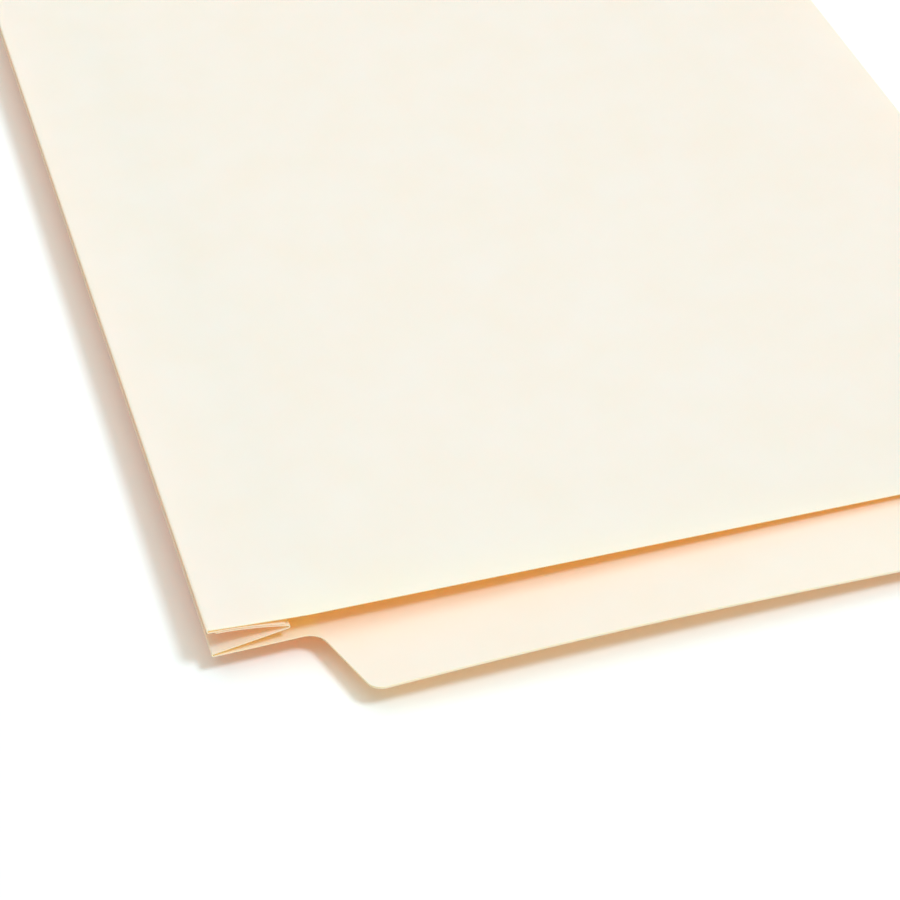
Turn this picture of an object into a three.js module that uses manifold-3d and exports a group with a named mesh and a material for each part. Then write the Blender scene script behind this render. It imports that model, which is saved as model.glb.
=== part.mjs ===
// End-tab file folder of manila card with a pleated expansion spine, closed and lying on its back cover.
// Millimetres, +Z up, X along the tab side, +Y from the tab towards the far end.
// While it is built, x = 0 is the back cover's edge at the spine, y = 0 the near edge of the front
// cover and z = 0 the surface that it lies on. The finished group is then centred on its footprint.
import * as THREE from 'three';
import { mergeVertices } from 'three/addons/utils/BufferGeometryUtils.js';
import Module from 'manifold-3d';

const wasm = await Module();
wasm.setup();

// Card stock and overall size
const CARD_THICKNESS = 0.28;
const SIDE_WIDTH = 241.3;
const COVER_LENGTH = 288.9;

// Tab and its second ply
const TAB_DEPTH = 22.2;
const NOTCH_WIDTH = 25.2;
const TAB_END_SLANT = THREE.MathUtils.degToRad(17.1);
const NOTCH_RADIUS = 5.0;
const TAB_CORNER_RADIUS = 4.0;
const CORNER_RADIUS = 6.0;
const REINFORCEMENT_DEPTH = 38.1;

// Pleated spine. The lower ply is straight, and the upper one, stiff with the flap on it, bows
// upwards: it leaves the inner crease steeper and reaches the spine flatter than its mean slope.
const PLY_WIDTH = 19.05;
const LOWER_PLY_ANGLE = THREE.MathUtils.degToRad(9.8);
const UPPER_PLY_ANGLE = THREE.MathUtils.degToRad(8.8);
const UPPER_PLY_BOW = THREE.MathUtils.degToRad(7);
const FOLD_AIR = 0.5;
const FRONT_OVERHANG = 0.7;
const FLAP_SETBACK = 0.6;
const SEAM_SETBACK = 0.9;
const FOLD_STRIP = 3.0;

// Clearances between the panels that turn against each other, and between glued plies
const HINGE_GAP = 0.3;
const FLAP_GLUE_FILM = 0.2;
const TAB_GLUE_FILM = 0.1;
const COVER_REST_GAP = 0.3;

// How the card lies: the back cover is dished, so that its rims stand off the surface, the edge of
// the tab arches along its length, and the front cover kicks up where it leaves the spine fold
const RIM_LIFT = 6.2;
const RIM_SPAN = 100.0;
const RIM_FLAT = 2.0;
const TAB_REST_LIFT = 5.75;
const TAB_ARCH = 3.05;
const TAB_CREST_X = 84.0;
const TAB_ARCH_SPAN = 128.0;
const COVER_KICK = 1.12;
const COVER_KICK_SPAN = 21.0;
const COVER_KICK_POWER = 1.15;

// Smoothness of the curved stretches
const FOLD_STEPS = 10;
const CORNER_STEPS = 8;
const KICK_STEPS = 9;
const RIM_STEPS = 6;
const MIDDLE_STEPS = 5;
const PLY_STEPS = 6;
const TAB_STEPS = 3;
const TRIM_MARGIN = 2.0;

const FOLD_RADIUS = (FOLD_AIR + CARD_THICKNESS) / 2;
const FOLD_REACH = FOLD_RADIUS + CARD_THICKNESS / 2;
const HALF_TURN = Math.PI;

const MANILA = { color: '#f4e8cd', roughness: 0.82, metalness: 0.0 };
const MANILA_SHADED = { color: '#efe0bf', roughness: 0.84, metalness: 0.0 };

// A sheet seen edge-on in the XZ plane: a pen that walks along the middle of the card.
// Each station keeps the place and heading of the card there.
class SheetPath {
  constructor(x, z, heading) {
    this.stations = [{ x, z, heading }];
  }

  get end() {
    return this.stations[this.stations.length - 1];
  }

  straight(length, steps = 1) {
    const { x, z, heading } = this.end;
    for (let i = 1; i <= steps; i++) {
      const run = (length * i) / steps;
      this.stations.push({ x: x + run * Math.cos(heading), z: z + run * Math.sin(heading), heading });
    }
    return this;
  }

  // A positive turn goes anticlockwise in the XZ plane
  bend(radius, turn, steps = FOLD_STEPS) {
    const { x, z, heading } = this.end;
    const side = Math.sign(turn);
    const centreX = x - side * radius * Math.sin(heading);
    const centreZ = z + side * radius * Math.cos(heading);
    for (let i = 1; i <= steps; i++) {
      const angle = heading + (turn * i) / steps;
      this.stations.push({
        x: centreX + side * radius * Math.sin(angle),
        z: centreZ - side * radius * Math.cos(angle),
        heading: angle,
      });
    }
    return this;
  }
}

// The place a little further along from a station
function ahead(station, distance) {
  return {
    x: station.x + distance * Math.cos(station.heading),
    z: station.z + distance * Math.sin(station.heading),
    heading: station.heading,
  };
}

// The place beside a station, square to the card, on the left of its heading
function beside(station, distance) {
  return {
    x: station.x - distance * Math.sin(station.heading),
    z: station.z + distance * Math.cos(station.heading),
    heading: station.heading,
  };
}

// A closed solid of card thickness that follows the stations in section and runs through the given
// y places. raise(x, y) lifts the card at a point.
function sheetGeometry(stations, yLines, raise = () => 0) {
  const positions = [];
  const rows = yLines.length;
  for (const offset of [CARD_THICKNESS / 2, -CARD_THICKNESS / 2]) {
    for (const station of stations) {
      const place = beside(station, offset);
      for (const y of yLines) {
        positions.push(place.x, y, place.z + raise(station.x, y));
      }
    }
  }
  const sheetSize = stations.length * rows;
  const index = [];
  const quad = (a, b, c, d) => index.push(a, b, c, a, c, d);
  for (let i = 0; i < stations.length - 1; i++) {
    for (let j = 0; j < rows - 1; j++) {
      const a = i * rows + j;
      const b = a + rows;
      quad(a, b, b + 1, a + 1);
      quad(a + sheetSize, a + 1 + sheetSize, b + 1 + sheetSize, b + sheetSize);
    }
  }
  for (let i = 0; i < stations.length - 1; i++) {
    const near = i * rows;
    const far = near + rows - 1;
    quad(near, near + sheetSize, near + rows + sheetSize, near + rows);
    quad(far, far + rows, far + rows + sheetSize, far + sheetSize);
  }
  const lastRow = (stations.length - 1) * rows;
  for (let j = 0; j < rows - 1; j++) {
    quad(j, j + 1, j + 1 + sheetSize, j + sheetSize);
    quad(lastRow + j, lastRow + j + sheetSize, lastRow + j + 1 + sheetSize, lastRow + j + 1);
  }
  const geometry = new THREE.BufferGeometry();
  geometry.setAttribute('position', new THREE.Float32BufferAttribute(positions, 3));
  geometry.setIndex(index);
  return geometry;
}

function toManifold(geometry) {
  const bare = geometry.clone();
  bare.deleteAttribute('normal');
  bare.deleteAttribute('uv');
  const merged = mergeVertices(bare);
  return new wasm.Manifold(new wasm.Mesh({
    numProp: 3,
    vertProperties: merged.attributes.position.array,
    triVerts: Uint32Array.from(merged.index.array),
  }));
}

function toGeometry(solid) {
  const mesh = solid.getMesh();
  const geometry = new THREE.BufferGeometry();
  geometry.setAttribute('position', new THREE.BufferAttribute(mesh.vertProperties, 3));
  geometry.setIndex(new THREE.BufferAttribute(mesh.triVerts, 1));
  return geometry;
}

// Trims a sheet to its die-cut shape: what stays lies inside every one of the plan outlines
function trimmed(sheet, ...outlines) {
  sheet.computeBoundingBox();
  const { min, max } = sheet.boundingBox;
  let solid = toManifold(sheet);
  for (const outline of outlines) {
    const cutter = new THREE.ExtrudeGeometry(outline, {
      depth: max.z - min.z + 2 * TRIM_MARGIN,
      bevelEnabled: false,
      curveSegments: CORNER_STEPS,
    });
    cutter.translate(0, 0, min.z - TRIM_MARGIN);
    solid = solid.intersect(toManifold(cutter));
  }
  return toGeometry(solid);
}

// Rounds the corner at (x, y) between the straight run that arrives and the one that leaves
function roundCorner(shape, from, corner, to, radius) {
  const arrive = new THREE.Vector2(corner.x - from.x, corner.y - from.y).normalize();
  const leave = new THREE.Vector2(to.x - corner.x, to.y - corner.y).normalize();
  const turn = arrive.cross(leave);
  const angle = Math.acos(THREE.MathUtils.clamp(arrive.dot(leave), -1, 1));
  const setback = radius * Math.tan(angle / 2);
  const start = { x: corner.x - arrive.x * setback, y: corner.y - arrive.y * setback };
  const side = Math.sign(turn);
  const centre = { x: start.x - side * arrive.y * radius, y: start.y + side * arrive.x * radius };
  const startAngle = Math.atan2(start.y - centre.y, start.x - centre.x);
  shape.lineTo(start.x, start.y);
  shape.absarc(centre.x, centre.y, radius, startAngle, startAngle + side * angle, side < 0);
}

// Plan outline of the back cover with its straight-cut end tab. The left side runs clear of the
// spine fold, which is rolled and so is not trimmed.
function backOutline() {
  const left = -TRIM_MARGIN;
  const slantRun = TAB_DEPTH * Math.tan(TAB_END_SLANT);
  const notch = { x: NOTCH_WIDTH, y: 0 };
  const tabLeft = { x: NOTCH_WIDTH + slantRun, y: -TAB_DEPTH };
  const tabRight = { x: SIDE_WIDTH, y: -TAB_DEPTH };
  const farRight = { x: SIDE_WIDTH, y: COVER_LENGTH };
  const farLeft = { x: left, y: COVER_LENGTH };
  const shape = new THREE.Shape();
  shape.moveTo(left, 0);
  roundCorner(shape, { x: left, y: 0 }, notch, tabLeft, NOTCH_RADIUS);
  roundCorner(shape, notch, tabLeft, tabRight, TAB_CORNER_RADIUS);
  roundCorner(shape, tabLeft, tabRight, farRight, CORNER_RADIUS);
  roundCorner(shape, tabRight, farRight, farLeft, CORNER_RADIUS);
  shape.lineTo(farLeft.x, farLeft.y);
  shape.closePath();
  return shape;
}

// Plan outline of the front cover, straight at the spine and rounded at its two free corners
function frontOutline() {
  const left = -FRONT_OVERHANG - TRIM_MARGIN;
  const nearRight = { x: SIDE_WIDTH, y: 0 };
  const farRight = { x: SIDE_WIDTH, y: COVER_LENGTH };
  const farLeft = { x: left, y: COVER_LENGTH };
  const shape = new THREE.Shape();
  shape.moveTo(left, 0);
  roundCorner(shape, { x: left, y: 0 }, nearRight, farRight, CORNER_RADIUS);
  roundCorner(shape, nearRight, farRight, farLeft, CORNER_RADIUS);
  shape.lineTo(farLeft.x, farLeft.y);
  shape.closePath();
  return shape;
}

// The band of card along the tab that the second ply covers
function reinforcementBand() {
  const top = REINFORCEMENT_DEPTH - TAB_DEPTH;
  const bottom = -TAB_DEPTH - TRIM_MARGIN;
  const right = SIDE_WIDTH + TRIM_MARGIN;
  const shape = new THREE.Shape();
  shape.moveTo(NOTCH_WIDTH, bottom);
  shape.lineTo(right, bottom);
  shape.lineTo(right, top);
  shape.lineTo(NOTCH_WIDTH, top);
  shape.closePath();
  return shape;
}

// 0 on a rim, 1 further in than RIM_SPAN
function inward(distance) {
  const s = THREE.MathUtils.clamp(distance / RIM_SPAN, 0, 1);
  return 1 - (1 - s) ** 2;
}

// Height of the tab's outer edge: an arch that dies away to either side of its crest
function tabEdgeLift(x) {
  const share = THREE.MathUtils.clamp((x - TAB_CREST_X) / TAB_ARCH_SPAN, -1, 1);
  return TAB_REST_LIFT + TAB_ARCH * Math.cos((share * Math.PI) / 2) ** 2;
}

// Height of the back cover's underside over the surface that it lies on. The tab leaves the near rim
// at the rim's own slope and curves from there to the height of its outer edge.
function backLift(x, y) {
  const across = inward(Math.min(x - RIM_FLAT, SIDE_WIDTH - x));
  const along = inward(Math.min(y, COVER_LENGTH - y));
  const rimSlope = (2 * RIM_LIFT * across) / RIM_SPAN;
  const outward = Math.max(0, -y);
  const curve = (tabEdgeLift(x) - RIM_LIFT - rimSlope * TAB_DEPTH) / TAB_DEPTH ** 2;
  return RIM_LIFT * (1 - across * along) + rimSlope * outward + curve * outward ** 2;
}

// Places across the back cover, close together where its rims curve and wide apart between them
function rimLines(low, lowEnd, highEnd, high, middleSteps) {
  const lines = [];
  for (let i = 0; i < RIM_STEPS; i++) {
    lines.push(low + ((lowEnd - low) * i) / RIM_STEPS);
  }
  for (let i = 0; i < middleSteps; i++) {
    lines.push(lowEnd + ((highEnd - lowEnd) * i) / middleSteps);
  }
  for (let i = 0; i <= RIM_STEPS; i++) {
    lines.push(highEnd + ((high - highEnd) * i) / RIM_STEPS);
  }
  return lines;
}

const alongLines = rimLines(0, RIM_SPAN, COVER_LENGTH - RIM_SPAN, COVER_LENGTH + TRIM_MARGIN, 1);
const tabLines = [-TAB_DEPTH - TRIM_MARGIN];
for (let i = TAB_STEPS - 1; i > 0; i--) {
  tabLines.push((-TAB_DEPTH * i) / TAB_STEPS);
}
const backYLines = [...tabLines, ...alongLines];
const acrossEnd = SIDE_WIDTH + TRIM_MARGIN;
const acrossLines = rimLines(RIM_FLAT, RIM_SPAN, SIDE_WIDTH - RIM_SPAN, acrossEnd, MIDDLE_STEPS);

// Level card at a height, walked from the free edge to the last place near the spine. The raise of
// backLift shapes it afterwards, so plies that share these places lie against each other.
function levelPath(z, lastX) {
  const path = new SheetPath(SIDE_WIDTH + TRIM_MARGIN, z, HALF_TURN);
  for (const x of [...acrossLines].reverse().slice(1)) {
    path.straight(path.end.x - x);
  }
  return path.straight(path.end.x - lastX);
}

// The back cover rolls over into the pleat at the spine
const endsOfCover = [0, COVER_LENGTH];
const backPath = levelPath(CARD_THICKNESS / 2, FOLD_REACH).bend(FOLD_RADIUS, LOWER_PLY_ANGLE - HALF_TURN);
const raisedFoldEnd = { ...backPath.end, z: backPath.end.z + RIM_LIFT };

// Lower ply: from the back cover's fold up to the inner crease of the pleat, which it rolls round
const innerCreaseRun = PLY_WIDTH - 2 * FOLD_REACH;
const lowerStart = ahead(raisedFoldEnd, HINGE_GAP);
const lowerPath = new SheetPath(lowerStart.x, lowerStart.z, lowerStart.heading)
  .straight(innerCreaseRun - HINGE_GAP)
  .bend(FOLD_RADIUS, HALF_TURN - LOWER_PLY_ANGLE - UPPER_PLY_ANGLE - UPPER_PLY_BOW);

// Upper ply: from the inner crease back to the outer edge of the spine, where it ends under the flap.
// Its bow is one arc.
const bowRadius = innerCreaseRun / (2 * UPPER_PLY_BOW);
const upperStart = ahead(lowerPath.end, HINGE_GAP);
const upperRun = innerCreaseRun - HINGE_GAP - SEAM_SETBACK;
const upperPath = new SheetPath(upperStart.x, upperStart.z, upperStart.heading)
  .bend(bowRadius, upperRun / bowRadius, PLY_STEPS);

// Glue flap: the front cover's card, turned under and bonded along the top of the upper ply, so that
// it bows about the same centre. It runs out to where the front fold stands past the back cover's
// edge by the overhang.
const flapOffset = CARD_THICKNESS + FLAP_GLUE_FILM;
const flapRadius = bowRadius + flapOffset;
const flapStart = beside(new SheetPath(upperStart.x, upperStart.z, upperStart.heading)
  .bend(bowRadius, FLAP_SETBACK / bowRadius, 1).end, -flapOffset);
const foldStartX = FOLD_REACH - FRONT_OVERHANG;
const bowCentreX = beside(flapStart, flapRadius).x;
const foldHeading = HALF_TURN - Math.asin((foldStartX - bowCentreX) / flapRadius);
const flapPath = new SheetPath(flapStart.x, flapStart.z, flapStart.heading)
  .bend(flapRadius, foldHeading - HINGE_GAP / flapRadius - flapStart.heading, PLY_STEPS);

// Spine fold of the front cover: a roll that turns against the flap on one side and the cover on
// the other. Its upper end has to meet the front cover, whose free edge rests on the back cover.
const foldStart = ahead(flapPath.end, HINGE_GAP);
const backRimTop = RIM_LIFT + CARD_THICKNESS;
const coverFreeZ = backRimTop + COVER_REST_GAP + CARD_THICKNESS / 2;
const kickSlope = (COVER_KICK_POWER * COVER_KICK) / COVER_KICK_SPAN;
const foldTopZ = foldStart.z + 2 * FOLD_RADIUS;
const coverTilt = (foldTopZ - COVER_KICK - coverFreeZ) / (SIDE_WIDTH + FRONT_OVERHANG);
const coverStartHeading = -Math.atan(coverTilt + kickSlope);
const foldPath = new SheetPath(foldStart.x, foldStart.z, foldStart.heading)
  .bend(FOLD_RADIUS, coverStartHeading - foldStart.heading)
  .straight(FOLD_STRIP);

// Front cover: a kick up near the fold that dies away, then a straight fall to the free edge
const coverStart = ahead(foldPath.end, HINGE_GAP);

function frontSection() {
  const fall = (coverStart.z - COVER_KICK - coverFreeZ) / (SIDE_WIDTH - coverStart.x);
  const stops = [];
  for (let i = 0; i <= KICK_STEPS; i++) {
    stops.push(coverStart.x + (COVER_KICK_SPAN * i) / KICK_STEPS);
  }
  stops.push(SIDE_WIDTH + TRIM_MARGIN);
  return stops.map((x) => {
    const kickLeft = Math.max(0, 1 - (x - coverStart.x) / COVER_KICK_SPAN);
    const z = coverFreeZ + fall * (SIDE_WIDTH - x) + COVER_KICK * kickLeft ** COVER_KICK_POWER;
    const slope = -fall - kickSlope * kickLeft ** (COVER_KICK_POWER - 1);
    return { x, z, heading: Math.atan(slope) };
  });
}

// The second ply follows the underside of the tab
const reinforcementPath = levelPath(-(CARD_THICKNESS / 2 + TAB_GLUE_FILM), FOLD_REACH);

function part(name, geometry, finish) {
  const faceted = geometry.index ? geometry.toNonIndexed() : geometry;
  faceted.computeVertexNormals();
  const mesh = new THREE.Mesh(faceted, new THREE.MeshStandardMaterial(finish));
  mesh.name = name;
  return mesh;
}

const folder = new THREE.Group();
const backSheet = sheetGeometry(backPath.stations, backYLines, backLift);
const reinforcementSheet = sheetGeometry(reinforcementPath.stations, backYLines, backLift);
const frontSheet = sheetGeometry(frontSection(), [-TRIM_MARGIN, COVER_LENGTH + TRIM_MARGIN]);
folder.add(
  part('back_cover', trimmed(backSheet, backOutline()), MANILA),
  part('tab_reinforcement', trimmed(reinforcementSheet, backOutline(), reinforcementBand()), MANILA),
  part('gusset_lower_ply', sheetGeometry(lowerPath.stations, endsOfCover), MANILA_SHADED),
  part('gusset_upper_ply', sheetGeometry(upperPath.stations, endsOfCover), MANILA_SHADED),
  part('front_glue_flap', sheetGeometry(flapPath.stations, endsOfCover), MANILA_SHADED),
  part('front_spine_fold', sheetGeometry(foldPath.stations, endsOfCover), MANILA),
  part('front_cover', trimmed(frontSheet, frontOutline()), MANILA),
);
folder.position.set((FRONT_OVERHANG - SIDE_WIDTH) / 2, (TAB_DEPTH - COVER_LENGTH) / 2, 0);

// Where each panel turns, in the section above. The front cover turns about a line just over its
// face, so that it can lie back flat on the fold.
folder.userData.hingeLines = {
  lowerFold: raisedFoldEnd,
  innerCrease: lowerPath.end,
  flapFold: flapPath.end,
  coverFold: beside(ahead(foldPath.end, HINGE_GAP / 2), FOLD_RADIUS),
};

export default folder;
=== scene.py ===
# A manila end-tab file folder with a pleated spine, lying closed on a white table, seen from its tab end.
# Until a mesh is made, places are millimetres in the folder's own section: x = 0 is the back cover's
# edge at the spine, y = 0 the near edge of the front cover and z = 0 the table.
import math

import bpy
import numpy as np
from mathutils import Euler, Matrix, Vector


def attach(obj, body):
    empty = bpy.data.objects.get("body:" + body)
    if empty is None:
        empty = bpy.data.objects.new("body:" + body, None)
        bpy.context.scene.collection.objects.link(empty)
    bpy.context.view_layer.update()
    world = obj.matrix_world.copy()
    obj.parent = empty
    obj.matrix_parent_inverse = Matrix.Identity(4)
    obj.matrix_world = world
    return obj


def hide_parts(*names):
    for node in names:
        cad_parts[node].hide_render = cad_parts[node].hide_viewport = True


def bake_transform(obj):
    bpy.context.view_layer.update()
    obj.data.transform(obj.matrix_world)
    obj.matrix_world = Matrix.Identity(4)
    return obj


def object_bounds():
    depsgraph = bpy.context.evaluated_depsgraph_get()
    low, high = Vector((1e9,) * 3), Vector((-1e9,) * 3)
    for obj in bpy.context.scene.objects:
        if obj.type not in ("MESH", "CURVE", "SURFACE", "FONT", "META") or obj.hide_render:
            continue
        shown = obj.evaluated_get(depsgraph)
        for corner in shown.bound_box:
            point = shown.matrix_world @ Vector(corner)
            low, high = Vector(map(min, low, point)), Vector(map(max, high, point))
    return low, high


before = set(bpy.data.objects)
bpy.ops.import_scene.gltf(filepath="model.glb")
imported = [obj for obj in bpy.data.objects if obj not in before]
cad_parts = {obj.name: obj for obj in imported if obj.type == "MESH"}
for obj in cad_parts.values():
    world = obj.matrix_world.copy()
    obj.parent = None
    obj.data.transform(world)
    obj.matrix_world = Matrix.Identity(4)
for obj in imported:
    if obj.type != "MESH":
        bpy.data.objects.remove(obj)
cad_low, cad_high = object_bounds()

MM = 0.001

# The card and its outline
CARD_THICKNESS = 0.28
SIDE_WIDTH = 241.3
COVER_LENGTH = 288.9
TAB_DEPTH = 22.2
NOTCH_WIDTH = 25.2
TAB_END_SLANT = math.radians(17.1)
NOTCH_RADIUS = 5.0
TAB_CORNER_RADIUS = 4.0
CORNER_RADIUS = 6.0
REINFORCEMENT_DEPTH = 38.1
REINFORCEMENT_LEFT_GAP = 0.4

# The pleated spine
PLY_WIDTH = 19.05
LOWER_PLY_ANGLE = math.radians(9.8)
UPPER_PLY_ANGLE = math.radians(8.8)
UPPER_PLY_BOW = math.radians(7)
FOLD_AIR = 0.5
FRONT_OVERHANG = 0.7
FLAP_SETBACK = 0.6
SEAM_SETBACK = 0.9
FOLD_STRIP = 3.0
HINGE_GAP = 0.3
FLAP_GLUE_FILM = 0.2
TAB_GLUE_FILM = 0.1
COVER_REST_GAP = 0.3

# How the card lies
RIM_LIFT = 6.2
RIM_SPAN = 100.0
RIM_FLAT = 2.0
TAB_REST_LIFT = 5.75
TAB_ARCH = 3.05
TAB_CREST_X = 84.0
TAB_ARCH_SPAN = 128.0
COVER_KICK = 1.12
COVER_KICK_SPAN = 21.0
COVER_KICK_POWER = 1.15

# How finely the card is divided: steps round a bend and along a ply, then spacings across a cover
FOLD_STEPS = 24
PLY_STEPS = 12
ARC_STEPS = 12
SPINE_STEPS = 60
COLUMN_SPACING = 2.5
SLANT_SPACING = 0.5
STRIP_SPACING = 0.5
CREASE_SPACING = 0.12
KICK_SPACING = 0.8
CREASE_MARGIN = 1.2
KICK_MARGIN = 2

# Rows of a cover, from its near edge to its far edge, with TAB_ROWS more where it has the tab, and
# rows of the ply under the tab
NEAR_ROWS = 4
TAB_ROWS = 8
RIM_ROWS = 10
MIDDLE_ROWS = 40
FAR_ROWS = 14
TAB_PLY_ROWS = 14

# The rounding of the cut edges
CUT_EDGE_ROUND = 0.06
CUT_EDGE_SEGMENTS = 2
CUT_EDGE_ANGLE = math.radians(50)

# The photograph's camera: a 102 mm lens on a 36 mm sensor, 41.9 degrees down and turned 17.6 degrees
CAMERA_LENS = 102.0
CAMERA_SENSOR = 36.0
CAMERA_NEAR = 0.01
CAMERA_DOWN = math.radians(41.881)
CAMERA_TURN = math.radians(17.594)
CAMERA_PLACE = Vector((-0.18956, -0.53068, 0.42793))

# Colours of the card and the table, as linear red, green and blue
MANILA = (1.0, 0.91, 0.65)
MANILA_PALE = (1.0, 0.93, 0.69)
MANILA_THROUGH = (1.0, 0.73, 0.02)
TABLE_WHITE = (0.98, 0.79, 0.56)

# How much of the light that a surface scatters goes through it
CARD_THROUGH = 0.45
TAB_PLY_THROUGH = 0.05
CUT_EDGE_THROUGH = 0.4

# The values between which nearly all of Blender's noise lies
NOISE_LOW = 0.3
NOISE_HIGH = 0.7

# The table and the lights, with places and sizes in metres
TABLE_SIZE = 8.0
TABLE_DROP = 0.00005
KEY_COLOUR = (0.405, 0.625, 1.0)
KEY_STRENGTH = 2.62
KEY_FROM = Vector((0.38, -0.43, 1.0))
KEY_SPREAD = math.radians(13)
FILL_COLOUR = (0.49, 0.73, 1.0)
FILL_STRENGTH = 0.88
OVERHEAD_COLOUR = (0.61, 0.77, 1.0)
OVERHEAD_POWER = 21.0
OVERHEAD_PLACE = Vector((0.1, 0.2, 1.6))
OVERHEAD_SIZE = 2.2
BACKDROP_COLOUR = (0.88, 0.88, 0.88)
LIGHT_BOUNCES = 32

# Material slots of a piece: its two faces, then its cut edges
FACE, EDGE = 0, 1

# Sizes that follow from those above
FOLD_RADIUS = (FOLD_AIR + CARD_THICKNESS) / 2
FOLD_REACH = FOLD_RADIUS + CARD_THICKNESS / 2
NOTCH_TURN = math.pi / 2 - TAB_END_SLANT
NOTCH_START = NOTCH_WIDTH - NOTCH_RADIUS * math.tan(NOTCH_TURN / 2)
NOTCH_END = NOTCH_START + NOTCH_RADIUS * math.sin(NOTCH_TURN)
TAB_LEFT = NOTCH_WIDTH + TAB_DEPTH * math.tan(TAB_END_SLANT)
TAB_CORNER_END = TAB_LEFT + TAB_CORNER_RADIUS * math.tan(NOTCH_TURN / 2)
TAB_CORNER_START = TAB_CORNER_END - TAB_CORNER_RADIUS * math.sin(NOTCH_TURN)
FREE_CORNER_START = SIDE_WIDTH - CORNER_RADIUS
TAB_PLY_INNER_EDGE = REINFORCEMENT_DEPTH - TAB_DEPTH


class SheetPath:
    """A pen that walks along the middle of the card, seen edge-on, and notes x, z and heading."""

    def __init__(self, x, z, heading):
        self.stations = [(x, z, heading)]

    @property
    def end(self):
        return self.stations[-1]

    def straight(self, length, steps):
        x, z, heading = self.end
        for i in range(1, steps + 1):
            run = length * i / steps
            self.stations.append((x + run * math.cos(heading), z + run * math.sin(heading), heading))
        return self

    def bend(self, radius, turn, steps=FOLD_STEPS):
        x, z, heading = self.end
        side = math.copysign(1, turn)
        centre_x = x - side * radius * math.sin(heading)
        centre_z = z + side * radius * math.cos(heading)
        for i in range(1, steps + 1):
            angle = heading + turn * i / steps
            place_x = centre_x + side * radius * math.sin(angle)
            place_z = centre_z - side * radius * math.cos(angle)
            self.stations.append((place_x, place_z, angle))
        return self


def ahead(station, distance):
    x, z, heading = station
    return (x + distance * math.cos(heading), z + distance * math.sin(heading), heading)


def beside(station, distance):
    x, z, heading = station
    return (x - distance * math.sin(heading), z + distance * math.cos(heading), heading)


def to_row(points):
    """Section millimetres to metres in the frame that the CAD model is packed in."""
    right = cad_high.x / MM - SIDE_WIDTH
    near = cad_low.y / MM + TAB_DEPTH
    return (np.asarray(points, float) + (right, near, 0.0)) * MM


# How the back cover lies and how its edges run
def inward(distance):
    """0 on a rim, rising to 1 at RIM_SPAN and further in."""
    share = np.clip(distance / RIM_SPAN, 0, 1)
    return 1 - (1 - share) ** 2


def tab_edge_lift(x):
    """The height of the tab's near edge, which arches."""
    share = np.clip((x - TAB_CREST_X) / TAB_ARCH_SPAN, -1, 1)
    return TAB_REST_LIFT + TAB_ARCH * np.cos(share * math.pi / 2) ** 2


def back_lift(x, y):
    """The height of the back cover's underside: flat in the middle, lifted at the rims and arched on the
    tab."""
    across = inward(np.minimum(x - RIM_FLAT, SIDE_WIDTH - x))
    along = inward(np.minimum(y, COVER_LENGTH - y))
    rim_slope = 2 * RIM_LIFT * across / RIM_SPAN
    outward = np.maximum(0, -y)
    curve = (tab_edge_lift(x) - RIM_LIFT - rim_slope * TAB_DEPTH) / TAB_DEPTH ** 2
    return RIM_LIFT * (1 - across * along) + rim_slope * outward + curve * outward ** 2


def free_corner(x):
    """How far the round corner at the free edge cuts in from a straight edge."""
    into = max(0.0, x - FREE_CORNER_START)
    return CORNER_RADIUS - math.sqrt(max(0.0, CORNER_RADIUS ** 2 - into ** 2))


def near_edge(x):
    """The back cover's near edge: straight, a hollow round notch, the tab's slanted end, its round
    corner, the tab's straight edge and the far round corner."""
    if x <= NOTCH_START:
        return 0.0
    if x <= NOTCH_END:
        return math.sqrt(NOTCH_RADIUS ** 2 - (x - NOTCH_START) ** 2) - NOTCH_RADIUS
    if x <= TAB_CORNER_START:
        return -(x - NOTCH_WIDTH) / math.tan(TAB_END_SLANT)
    if x <= TAB_CORNER_END:
        rise = TAB_CORNER_RADIUS - math.sqrt(TAB_CORNER_RADIUS ** 2 - (TAB_CORNER_END - x) ** 2)
        return rise - TAB_DEPTH
    return free_corner(x) - TAB_DEPTH


def far_edge(x):
    return COVER_LENGTH - free_corner(x)


def spread(low, high, spacing):
    """Evenly spaced places from low up to, and without, high."""
    steps = max(1, round((high - low) / spacing))
    return list(np.linspace(low, high, steps, endpoint=False))


def corner_places(centre, radius, start, end):
    """Places across a round corner, even in angle: centre + radius times the sine."""
    return [centre + radius * math.sin(a) for a in np.linspace(start, end, ARC_STEPS, endpoint=False)]


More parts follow.
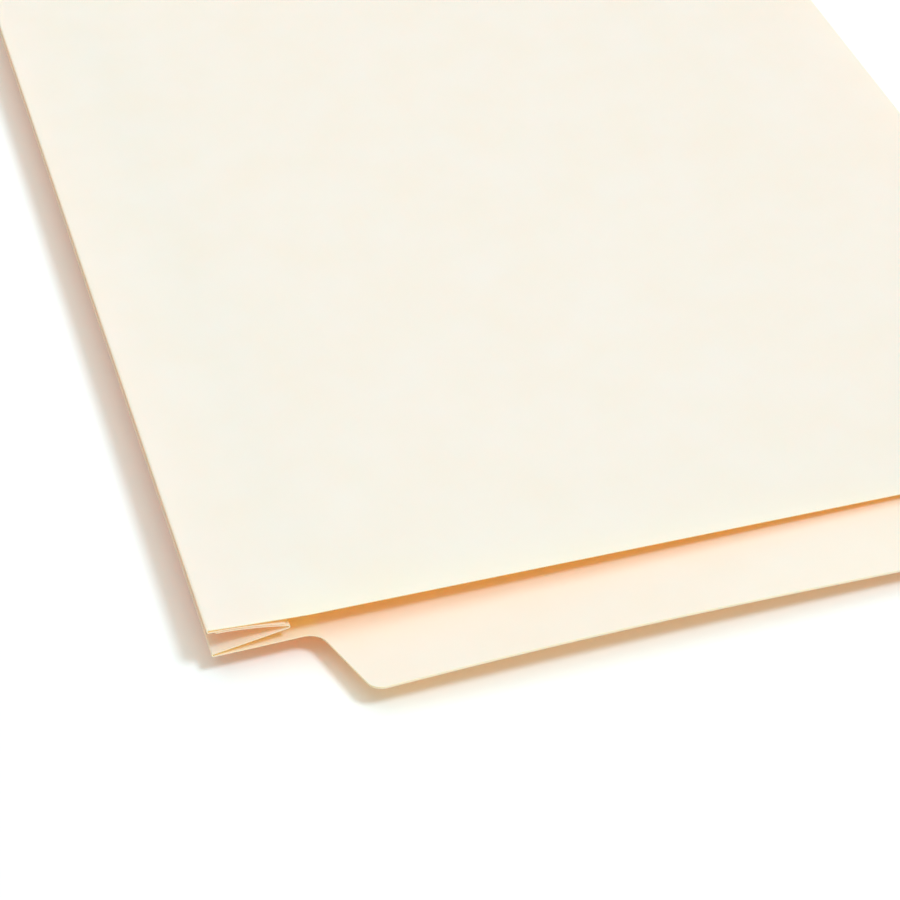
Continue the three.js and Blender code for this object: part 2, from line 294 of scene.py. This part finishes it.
# Meshes of card
def card(name, mid, side, face):
    """A closed sheet of card thickness round a grid of points on its middle surface. side holds the
    surface's unit normals, and face is the faces' material. The cut edges are slightly rounded."""
    rows, columns = mid.shape[:2]
    half = CARD_THICKNESS / 2
    points = np.concatenate([(mid + side * half).reshape(-1, 3), (mid - side * half).reshape(-1, 3)])
    number = np.arange(rows * columns).reshape(rows, columns)
    a, b, c, d = number[:-1, :-1], number[1:, :-1], number[1:, 1:], number[:-1, 1:]
    top = np.stack([a, b, c, d], -1).reshape(-1, 4)
    bottom = np.stack([a, d, c, b], -1).reshape(-1, 4) + rows * columns
    rims = [(number[:, 0], True), (number[:, -1], False), (number[0], False), (number[-1], True)]
    walls = []
    for line, reverse in rims:
        below = line + rows * columns
        quads = np.stack([line[:-1], line[1:], below[1:], below[:-1]], -1)
        walls.append(quads[:, ::-1] if reverse else quads)
    faces = np.concatenate([top, bottom, *walls])
    mesh = bpy.data.meshes.new(name)
    mesh.from_pydata(to_row(points).tolist(), [], faces.tolist())
    mesh.materials.append(face)
    mesh.materials.append(cut_edge)
    slots = np.full(len(faces), EDGE, np.int32)
    slots[:len(top) + len(bottom)] = FACE
    mesh.polygons.foreach_set("material_index", slots)
    mesh.validate()
    mesh.shade_smooth()
    piece = bpy.data.objects.new(name, mesh)
    bpy.context.scene.collection.objects.link(piece)
    bevel = piece.modifiers.new("cut_edge", "BEVEL")
    bevel.width = CUT_EDGE_ROUND * MM
    bevel.segments = CUT_EDGE_SEGMENTS
    bevel.limit_method = "ANGLE"
    bevel.angle_limit = CUT_EDGE_ANGLE
    bevel.harden_normals = True
    return piece


def folded_card(name, stations, y_places):
    """Card that follows a section and runs straight along the spine."""
    x, z, heading = (np.array(v) for v in zip(*stations))
    y = np.array(y_places, float)
    mid = np.empty((len(x), len(y), 3))
    mid[..., 0] = x[:, None]
    mid[..., 1] = y[None, :]
    mid[..., 2] = z[:, None]
    side = np.zeros_like(mid)
    side[..., 0] = -np.sin(heading)[:, None]
    side[..., 2] = np.cos(heading)[:, None]
    return card(name, mid, side, manila)


def plan_card(name, columns, height, face):
    """Card in plan. Each column is a place across the sheet and the places along it, and height(x, y)
    gives its middle surface."""
    grid = []
    for x, y in columns:
        across = np.full_like(y, x)
        grid.append(np.stack([across, y, height(across, y)], -1))
    mid = np.array(grid)
    side = np.zeros_like(mid)
    side[..., 2] = 1.0
    return card(name, mid, side, face)


def cover_card(name, places, height, near, far, tab_rows=0):
    """A cover, from near(x) to far(x), with its rows closest together near its edges."""
    inner_near = TAB_DEPTH / 2
    inner_far = COVER_LENGTH - RIM_SPAN
    columns = []
    for x in places:
        lines = [np.linspace(near(x), inner_near, tab_rows + NEAR_ROWS, endpoint=False),
                 np.linspace(inner_near, RIM_SPAN, RIM_ROWS, endpoint=False),
                 np.linspace(RIM_SPAN, inner_far, MIDDLE_ROWS, endpoint=False),
                 np.linspace(inner_far, far(x), FAR_ROWS)]
        columns.append((x, np.concatenate(lines)))
    return plan_card(name, columns, height, manila)


# Materials
def shader_of(material):
    """The material's node tree and its main shader."""
    material.use_nodes = True
    tree = material.node_tree
    return tree, tree.nodes["Principled BSDF"]


def noise(tree, scale, detail, stretch=(1.0, 1.0, 1.0)):
    """Noise in the folder's own metres: a scale of 1000 gives grains of about a millimetre."""
    place = tree.nodes.new("ShaderNodeTexCoord")
    mapping = tree.nodes.new("ShaderNodeMapping")
    mapping.inputs["Scale"].default_value = stretch
    texture = tree.nodes.new("ShaderNodeTexNoise")
    texture.inputs["Scale"].default_value = scale
    texture.inputs["Detail"].default_value = detail
    tree.links.new(place.outputs["Object"], mapping.inputs["Vector"])
    tree.links.new(mapping.outputs["Vector"], texture.inputs["Vector"])
    return texture.outputs["Fac"]


def between(tree, share, low, high):
    """A number that runs from low to high as a noise does over its usual spread."""
    node = tree.nodes.new("ShaderNodeMapRange")
    node.inputs["From Min"].default_value = NOISE_LOW
    node.inputs["From Max"].default_value = NOISE_HIGH
    node.inputs["To Min"].default_value = low
    node.inputs["To Max"].default_value = high
    tree.links.new(share, node.inputs["Value"])
    return node.outputs["Result"]


def blend_colours(tree, share, first, second):
    """first and second are colours or sockets."""
    node = tree.nodes.new("ShaderNodeMix")
    node.data_type = "RGBA"
    for name, value in (("A", first), ("B", second)):
        socket = [s for s in node.inputs if s.name == name and s.type == "RGBA"][0]
        if isinstance(value, bpy.types.NodeSocket):
            tree.links.new(value, socket)
        else:
            socket.default_value = (*value, 1.0)
    tree.links.new(share, node.inputs["Factor"])
    return [s for s in node.outputs if s.type == "RGBA"][0]


def bump(tree, height, distance, strength):
    node = tree.nodes.new("ShaderNodeBump")
    node.inputs["Distance"].default_value = distance
    node.inputs["Strength"].default_value = strength
    tree.links.new(height, node.inputs["Height"])
    return node.outputs["Normal"]


def let_light_through(tree, shader, share):
    """Thin card glows where it is lit from behind."""
    through = tree.nodes.new("ShaderNodeBsdfTranslucent")
    through.inputs["Color"].default_value = (*MANILA_THROUGH, 1.0)
    mix = tree.nodes.new("ShaderNodeMixShader")
    mix.inputs["Fac"].default_value = share
    tree.links.new(shader.outputs["BSDF"], mix.inputs[1])
    tree.links.new(through.outputs["BSDF"], mix.inputs[2])
    output = [n for n in tree.nodes if n.type == "OUTPUT_MATERIAL"][0]
    tree.links.new(mix.outputs["Shader"], output.inputs["Surface"])


def manila_material(name, through_share):
    """Smooth calendered manila card: faint cloudy mottling, short fibres and a dull sheen."""
    material = bpy.data.materials.new(name)
    tree, shader = shader_of(material)
    clouds = noise(tree, scale=70.0, detail=4.0)
    fibres = noise(tree, scale=900.0, detail=3.0, stretch=(1.0, 0.3, 1.0))
    grain = noise(tree, scale=3500.0, detail=2.0)
    cloudy = blend_colours(tree, between(tree, clouds, low=0.0, high=1.0), MANILA, MANILA_PALE)
    fibrous = blend_colours(tree, between(tree, fibres, low=0.0, high=0.18), cloudy, MANILA_PALE)
    roughness = between(tree, fibres, low=0.52, high=0.62)
    tree.links.new(fibrous, shader.inputs["Base Color"])
    tree.links.new(roughness, shader.inputs["Roughness"])
    shader.inputs["Specular IOR Level"].default_value = 0.4
    shader.inputs["Sheen Weight"].default_value = 0.08
    shader.inputs["Sheen Roughness"].default_value = 0.6
    tree.links.new(bump(tree, grain, distance=0.00002, strength=0.25), shader.inputs["Normal"])
    let_light_through(tree, shader, through_share)
    return material


def cut_edge_material():
    """The die-cut edge, where the pulp is open: rougher and a little paler."""
    material = bpy.data.materials.new("cut_edge")
    tree, shader = shader_of(material)
    pulp = noise(tree, scale=4000.0, detail=3.0, stretch=(1.0, 1.0, 2.5))
    tree.links.new(blend_colours(tree, pulp, MANILA, MANILA_PALE), shader.inputs["Base Color"])
    shader.inputs["Roughness"].default_value = 0.9
    shader.inputs["Specular IOR Level"].default_value = 0.2
    tree.links.new(bump(tree, pulp, distance=0.00003, strength=0.5), shader.inputs["Normal"])
    let_light_through(tree, shader, CUT_EDGE_THROUGH)
    return material


manila = manila_material("manila_card", CARD_THROUGH)
manila_tab = manila_material("manila_tab_ply", TAB_PLY_THROUGH)
cut_edge = cut_edge_material()

# The section, from the back cover round the three folds to the front cover
lower_roll = SheetPath(FOLD_REACH, CARD_THICKNESS / 2 + RIM_LIFT, math.pi)
lower_roll.bend(FOLD_RADIUS, LOWER_PLY_ANGLE - math.pi)
ply_run = PLY_WIDTH - 2 * FOLD_REACH
lower_ply = SheetPath(*lower_roll.end).straight(ply_run, PLY_STEPS)
inner_roll = SheetPath(*lower_ply.end)
inner_roll.bend(FOLD_RADIUS, math.pi - LOWER_PLY_ANGLE - UPPER_PLY_ANGLE - UPPER_PLY_BOW)
bow_radius = ply_run / (2 * UPPER_PLY_BOW)
upper_ply = SheetPath(*inner_roll.end)
upper_ply.bend(bow_radius, (ply_run - SEAM_SETBACK) / bow_radius, PLY_STEPS)

# The flap lies on the upper ply and follows its bow to the place where the front fold starts
flap_offset = CARD_THICKNESS + FLAP_GLUE_FILM
flap_radius = bow_radius + flap_offset
flap_start = SheetPath(*inner_roll.end).bend(bow_radius, (HINGE_GAP + FLAP_SETBACK) / bow_radius, 1).end
flap_start = beside(flap_start, -flap_offset)
fold_start_x = FOLD_REACH - FRONT_OVERHANG
bow_centre_x = beside(flap_start, flap_radius)[0]
fold_heading = math.pi - math.asin((fold_start_x - bow_centre_x) / flap_radius)
flap = SheetPath(*flap_start).bend(flap_radius, fold_heading - flap_start[2], PLY_STEPS)

# The front fold turns until it heads along the front cover, whose free edge rests on the back cover
cover_free_z = RIM_LIFT + CARD_THICKNESS + COVER_REST_GAP + CARD_THICKNESS / 2
kick_slope = COVER_KICK_POWER * COVER_KICK / COVER_KICK_SPAN
fold_top_z = flap.end[1] + 2 * FOLD_RADIUS
cover_tilt = (fold_top_z - COVER_KICK - cover_free_z) / (SIDE_WIDTH + FRONT_OVERHANG)
cover_heading = -math.atan(cover_tilt + kick_slope)
spine_roll = SheetPath(*flap.end).bend(FOLD_RADIUS, cover_heading - flap.end[2])
strip_end = ahead(spine_roll.end, FOLD_STRIP)
cover_start = ahead(strip_end, HINGE_GAP)


def front_height(x, y):
    """The front cover: the strip on the fold, a kick that dies away, then a straight fall."""
    fall = (cover_start[1] - COVER_KICK - cover_free_z) / (SIDE_WIDTH - cover_start[0])
    left = np.clip(1 - (x - cover_start[0]) / COVER_KICK_SPAN, 0, 1)
    cover = cover_free_z + fall * (SIDE_WIDTH - x) + COVER_KICK * left ** COVER_KICK_POWER
    strip = spine_roll.end[1] + (x - spine_roll.end[0]) * math.tan(cover_heading)
    return np.where(x < cover_start[0], strip, cover)


def back_height(x, y):
    return back_lift(x, y) + CARD_THICKNESS / 2


def tab_ply_height(x, y):
    return back_height(x, y) - CARD_THICKNESS - TAB_GLUE_FILM


def back_columns(left):
    """Places across the back cover, close together round the notch and the corners."""
    places = spread(left, NOTCH_START, COLUMN_SPACING)
    places += corner_places(NOTCH_START, NOTCH_RADIUS, 0, NOTCH_TURN)
    places += spread(NOTCH_END, TAB_CORNER_START, SLANT_SPACING)
    places += corner_places(TAB_CORNER_END, TAB_CORNER_RADIUS, -NOTCH_TURN, 0)
    places += spread(TAB_CORNER_END, FREE_CORNER_START, COLUMN_SPACING)
    places += corner_places(FREE_CORNER_START, CORNER_RADIUS, 0, math.pi / 2)
    return [left] + [place for place in places if place > left] + [SIDE_WIDTH]


def front_columns():
    """Places across the front cover, close together at the crease and at the free corners."""
    crease = cover_start[0]
    kick_end = crease + COVER_KICK_SPAN + KICK_MARGIN
    places = spread(spine_roll.end[0], crease - CREASE_MARGIN, STRIP_SPACING)
    places += spread(crease - CREASE_MARGIN, crease + CREASE_MARGIN, CREASE_SPACING)
    places += spread(crease + CREASE_MARGIN, kick_end, KICK_SPACING)
    places += spread(kick_end, FREE_CORNER_START, COLUMN_SPACING)
    places += corner_places(FREE_CORNER_START, CORNER_RADIUS, 0, math.pi / 2)
    return places + [SIDE_WIDTH]


def tab_ply_card():
    """The second ply under the tab: it follows the tab's outline, and its inner edge is straight."""
    columns = []
    for x in back_columns(NOTCH_WIDTH + REINFORCEMENT_LEFT_GAP):
        columns.append((x, np.linspace(near_edge(x), TAB_PLY_INNER_EDGE, TAB_PLY_ROWS)))
    return plan_card("tab_ply_card", columns, tab_ply_height, manila_tab)


# The pieces, each riding on its body or baked in place where it spans a crease
along_spine = np.linspace(0, COVER_LENGTH, SPINE_STEPS)

back_places = back_columns(FOLD_REACH)
back_cover = cover_card("back_cover_card", back_places, back_height, near_edge, far_edge, TAB_ROWS)
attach(back_cover, "back")
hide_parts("back_cover")

lower = folded_card("lower_ply_card", lower_roll.stations + lower_ply.stations[1:], along_spine)
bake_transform(lower)
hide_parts("gusset_lower_ply")

upper = folded_card("upper_ply_card", inner_roll.stations + upper_ply.stations[1:], along_spine)
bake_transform(upper)
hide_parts("gusset_upper_ply")

glue_flap = folded_card("glue_flap_card", flap.stations, along_spine)
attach(glue_flap, "pleat_upper")
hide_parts("front_glue_flap")

roll = folded_card("spine_roll_card", spine_roll.stations, along_spine)
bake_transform(roll)
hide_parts("front_spine_fold")

front = cover_card("front_cover_card", front_columns(), front_height, free_corner, far_edge)
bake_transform(front)
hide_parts("front_cover")

tab_ply = tab_ply_card()
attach(tab_ply, "back")
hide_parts("tab_reinforcement")


# Table, light and camera
def table():
    material = bpy.data.materials.new("table_white")
    shader = shader_of(material)[1]
    shader.inputs["Base Color"].default_value = (*TABLE_WHITE, 1.0)
    shader.inputs["Roughness"].default_value = 0.9
    shader.inputs["Specular IOR Level"].default_value = 0.1
    bpy.ops.mesh.primitive_plane_add(size=TABLE_SIZE, location=(0, 0, -TABLE_DROP))
    floor = bpy.context.object
    floor.name = "table"
    floor.data.materials.append(material)


def key_light():
    """One high, soft-edged light from the front right, the same all over the table."""
    data = bpy.data.lights.new("key", "SUN")
    data.energy = KEY_STRENGTH
    data.angle = KEY_SPREAD
    data.color = KEY_COLOUR
    light = bpy.data.objects.new("key", data)
    light.rotation_euler = KEY_FROM.to_track_quat("Z", "Y").to_euler()
    bpy.context.scene.collection.objects.link(light)


def overhead_light():
    """A wide disk that shines straight down."""
    data = bpy.data.lights.new("overhead", "AREA")
    data.shape = "DISK"
    data.size = OVERHEAD_SIZE
    data.energy = OVERHEAD_POWER
    data.color = OVERHEAD_COLOUR
    light = bpy.data.objects.new("overhead", data)
    light.location = OVERHEAD_PLACE
    bpy.context.scene.collection.objects.link(light)


def surroundings():
    """Cool light from all round, with a plain pale grey wall to be seen behind the table."""
    world = bpy.data.worlds.new("soft_room")
    bpy.context.scene.world = world
    world.use_nodes = True
    tree = world.node_tree
    fill = tree.nodes["Background"]
    fill.inputs["Color"].default_value = (*FILL_COLOUR, 1.0)
    fill.inputs["Strength"].default_value = FILL_STRENGTH
    backdrop = tree.nodes.new("ShaderNodeBackground")
    backdrop.inputs["Color"].default_value = (*BACKDROP_COLOUR, 1.0)
    ray = tree.nodes.new("ShaderNodeLightPath")
    mix = tree.nodes.new("ShaderNodeMixShader")
    tree.links.new(ray.outputs["Is Camera Ray"], mix.inputs["Fac"])
    tree.links.new(fill.outputs["Background"], mix.inputs[1])
    tree.links.new(backdrop.outputs["Background"], mix.inputs[2])
    tree.links.new(mix.outputs["Shader"], tree.nodes["World Output"].inputs["Surface"])


def camera():
    data = bpy.data.cameras.new("camera")
    data.lens = CAMERA_LENS
    data.sensor_width = CAMERA_SENSOR
    data.clip_start = CAMERA_NEAR
    eye = bpy.data.objects.new("camera", data)
    eye.location = CAMERA_PLACE
    eye.rotation_euler = Euler((math.pi / 2 - CAMERA_DOWN, 0, -CAMERA_TURN), "XYZ")
    bpy.context.scene.collection.objects.link(eye)
    bpy.context.scene.camera = eye


table()
surroundings()
key_light()
overhead_light()
camera()
bpy.context.scene.view_settings.view_transform = "Standard"
bpy.context.scene.cycles.max_bounces = LIGHT_BOUNCES
bpy.context.scene.cycles.diffuse_bounces = LIGHT_BOUNCES
bpy.context.scene.cycles.transmission_bounces = LIGHT_BOUNCES
